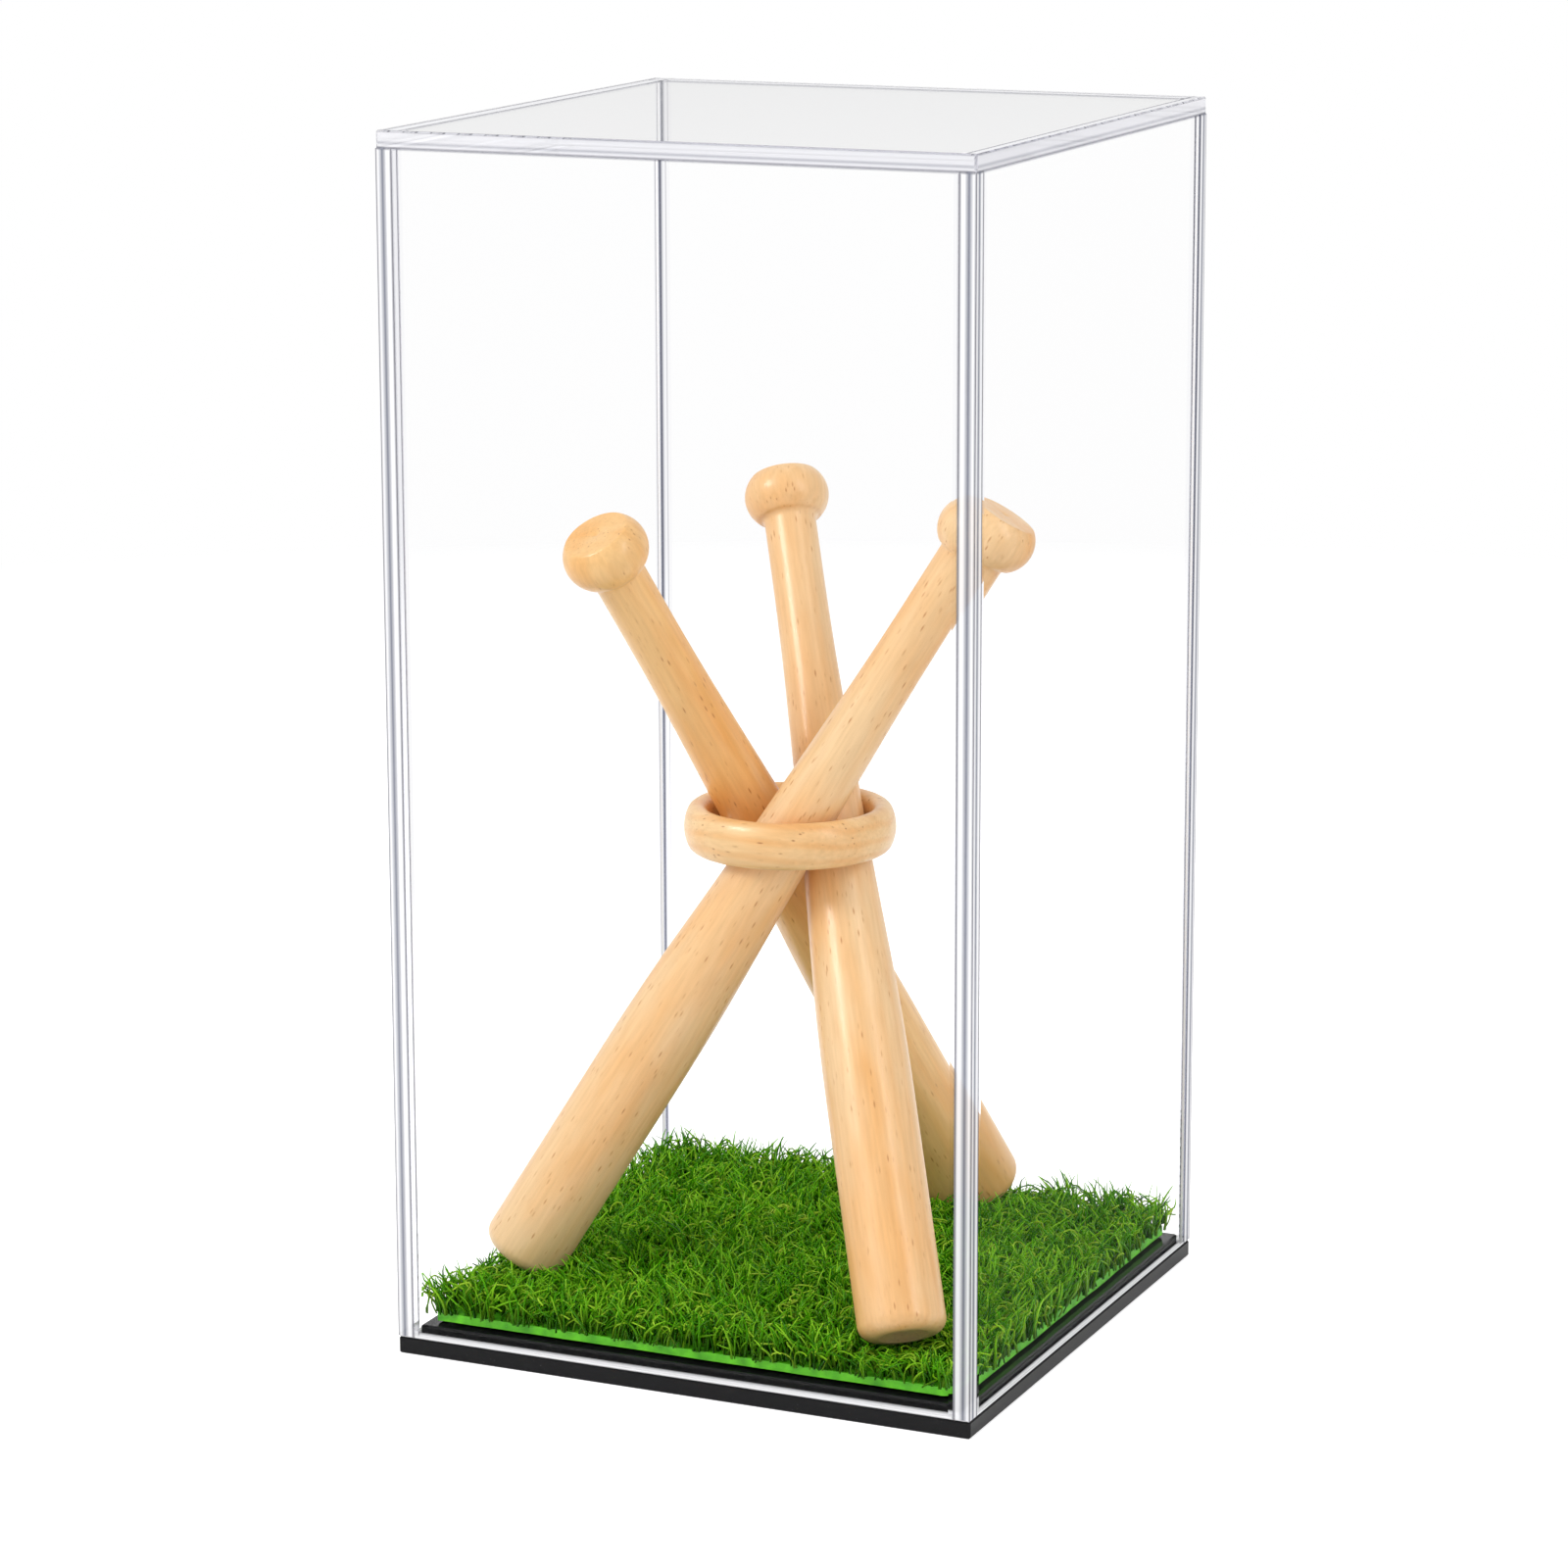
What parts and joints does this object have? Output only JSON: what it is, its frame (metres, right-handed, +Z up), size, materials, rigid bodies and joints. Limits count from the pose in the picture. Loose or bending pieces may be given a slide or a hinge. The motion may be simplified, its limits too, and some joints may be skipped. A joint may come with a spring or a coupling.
{
  "type": "baseball display case",
  "caption": "Clear upright display case: a lift-off cover over a dark base with a turf pad, on which small turned bats crossed through a ring hold a ball on their knobs.",
  "frame": {"origin": "middle of the base's underside, on the surface that the case stands on", "axes": "+Z up, +X along the front from left to right, +Y from the front to the back"},
  "size_m": [0.11, 0.11, 0.218],
  "materials": {
    "clear_acrylic": "polished clear acrylic",
    "black_acrylic": "gloss",
    "foam_tape": "matte",
    "turf": "soft matte",
    "wood": "satin varnish"
  },
  "bodies": {
    "base": {"base_plate": "black_acrylic", "base_platform": "black_acrylic", "turf_tape_front": "foam_tape", "turf_tape_back": "foam_tape", "turf_tape_left": "foam_tape", "turf_tape_right": "foam_tape", "turf_backing": "turf", "turf_pile": "turf"},
    "cover": {"front_panel": "clear_acrylic", "back_panel": "clear_acrylic", "left_panel": "clear_acrylic", "right_panel": "clear_acrylic", "top_panel": "clear_acrylic"},
    "ring": {"ring": "wood"},
    "bat_left": {"bat_left": "wood"},
    "bat_front": {"bat_front": "wood"},
    "bat_rear": {"bat_rear": "wood"}
  },
  "joints": [
    {"name": "cover_lift", "type": "slide", "parent": "base", "child": "cover", "axis": [0, 0, 1], "range_m": [0, 0.22]},
    {"name": "stand_lift", "type": "slide", "parent": "base", "child": "ring", "axis": [0, 0, 1], "range_m": [0, 0.05]},
    {"name": "bat_left_fold", "type": "hinge", "parent": "ring", "child": "bat_left", "pos_m": [0.00333, -0.01506, 0.0911], "axis": [0.2832, -0.959, 0], "range_deg": [0, 14]},
    {"name": "bat_front_fold", "type": "hinge", "parent": "ring", "child": "bat_front", "pos_m": [0.00734, -0.00269, 0.0911], "axis": [0.7923, 0.6101, 0], "range_deg": [0, 14]},
    {"name": "bat_rear_fold", "type": "hinge", "parent": "ring", "child": "bat_rear", "pos_m": [-0.00602, -0.00412, 0.0911], "axis": [-0.9035, 0.4286, 0], "range_deg": [0, 14]}
  ],
  "couplings": [
    {"joint": "bat_left_fold", "follows": "stand_lift", "rad_per_m": 4.88},
    {"joint": "bat_front_fold", "follows": "stand_lift", "rad_per_m": 4.88},
    {"joint": "bat_rear_fold", "follows": "stand_lift", "rad_per_m": 4.88}
  ]
}
